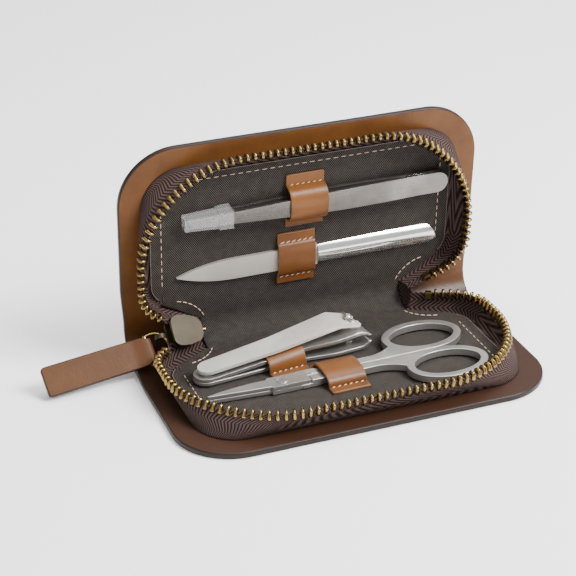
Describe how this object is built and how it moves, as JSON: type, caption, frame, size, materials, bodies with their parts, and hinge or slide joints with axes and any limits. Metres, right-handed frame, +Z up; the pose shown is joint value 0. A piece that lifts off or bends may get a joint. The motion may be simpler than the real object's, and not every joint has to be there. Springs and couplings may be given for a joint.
{
  "type": "manicure set case",
  "caption": "Open zip case of leather with a fabric lining; nail tools lie under leather loops in the base tray and the lid; wire ring and leather tab on the zip slider.",
  "frame": {"origin": "middle of the base panel's underside", "axes": "+X along the hinge to the right, -Y to the front, +Z up"},
  "size_m": [0.1555, 0.0739, 0.0745],
  "materials": {
    "cover_leather": "smooth tan leather with painted edges",
    "loop_leather": "light tan leather",
    "tab_leather": "tan leather",
    "board": "plain",
    "lining": "black twill",
    "zip_tape": "brown herringbone tape",
    "antique_brass": "antique",
    "satin_steel": "satin",
    "file_steel": "etched",
    "clear_plastic": "clear"
  },
  "bodies": {
    "base": {"base_cover": "cover_leather", "spine_cover": "cover_leather", "spine_lining": "lining", "base_board": "board", "base_lining": "lining", "lower_zip_tape": "zip_tape", "lower_zip_teeth": "antique_brass", "lower_top_stop": "antique_brass", "bottom_stop": "antique_brass", "clipper_loop": "loop_leather", "scissors_loop": "loop_leather"},
    "lid": {"lid_cover": "cover_leather", "lid_board": "board", "lid_lining": "lining", "upper_zip_tape": "zip_tape", "upper_zip_teeth": "antique_brass", "upper_top_stop": "antique_brass", "tweezers_loop": "loop_leather", "file_loop": "loop_leather"},
    "slider": {"slider_body": "antique_brass"},
    "ring": {"pull_ring": "antique_brass"},
    "tab": {"pull_tab": "tab_leather"},
    "tweezers": {"tweezers_rear_arm": "satin_steel"},
    "tweezers_front": {"tweezers_front_arm": "satin_steel"},
    "guard": {"tweezers_guard": "clear_plastic"},
    "file": {"file_blade": "file_steel", "file_handle": "satin_steel"},
    "clipper": {"clipper_lower_jaw": "satin_steel", "clipper_rivet": "satin_steel"},
    "upper_jaw": {"clipper_upper_jaw": "satin_steel"},
    "pin": {"clipper_pin": "satin_steel"},
    "lever": {"clipper_lever": "satin_steel"},
    "scissors": {"scissors_lower_half": "satin_steel", "scissors_screw": "satin_steel"},
    "scissors_upper": {"scissors_upper_half": "satin_steel"}
  },
  "joints": [
    {"name": "lid_hinge", "type": "hinge", "parent": "base", "child": "lid", "pos_m": [0, 0.0317, 0.0105], "axis": [-1, 0, 0], "range_deg": [-85, 90], "deforming": ["spine_cover", "spine_lining"]},
    {"name": "slider_slide", "type": "slide", "parent": "base", "child": "slider", "axis": [-0.9466, -0.2376, 0.2177], "range_m": [0, 0.0015]},
    {"name": "ring_swing", "type": "hinge", "parent": "slider", "child": "ring", "pos_m": [-0.05078, 0.03142, 0.01076], "axis": [-0.1132, 0.6712, 0.7325], "range_deg": [0, 18]},
    {"name": "tab_swing", "type": "hinge", "parent": "ring", "child": "tab", "pos_m": [-0.0566, 0.02889, 0.008], "axis": [-0.1132, 0.6712, 0.7325], "range_deg": [-10, 40]},
    {"name": "tweezers_slide", "type": "slide", "parent": "lid", "child": "tweezers", "axis": [1, 0, 0], "range_m": [-0.01, 0.004]},
    {"name": "tweezers_squeeze", "type": "hinge", "parent": "tweezers", "child": "tweezers_front", "pos_m": [0.0389, 0.03257, 0.04902], "axis": [0, 0.0872, -0.9962], "range_deg": [0, 0.38], "stiffness_Nm_per_rad": 1},
    {"name": "guard_slide", "type": "slide", "parent": "tweezers", "child": "guard", "axis": [-1, 0, 0], "range_m": [0, 0.0095]},
    {"name": "file_slide", "type": "slide", "parent": "lid", "child": "file", "axis": [1, 0, 0], "range_m": [-0.0009, 0.007]},
    {"name": "clipper_slide", "type": "slide", "parent": "base", "child": "clipper", "axis": [0.994, 0.1097, 0], "range_m": [-0.003, 0.0012]},
    {"name": "clipper_squeeze", "type": "hinge", "parent": "clipper", "child": "upper_jaw", "pos_m": [-0.04303, 0.01078, 0.00525], "axis": [-0.1097, 0.994, 0], "range_deg": [0, 1.9], "stiffness_Nm_per_rad": 4},
    {"name": "pin_swivel", "type": "hinge", "parent": "clipper", "child": "pin", "pos_m": [0.00767, 0.01638, 0.0039], "axis": [0, 0, 1], "range_deg": [0, 25]},
    {"name": "lever_lift", "type": "hinge", "parent": "pin", "child": "lever", "pos_m": [0.00767, 0.01638, 0.0135], "axis": [-0.1097, 0.994, 0], "range_deg": [0, 95]},
    {"name": "scissors_slide", "type": "slide", "parent": "base", "child": "scissors", "axis": [0.9995, 0.0314, 0], "range_m": [-0.003, 0.006]},
    {"name": "scissors_open", "type": "hinge", "parent": "scissors", "child": "scissors_upper", "pos_m": [-0.0225, -0.0026, 0.0037], "axis": [0, 0, 1], "range_deg": [0, 2]}
  ]
}
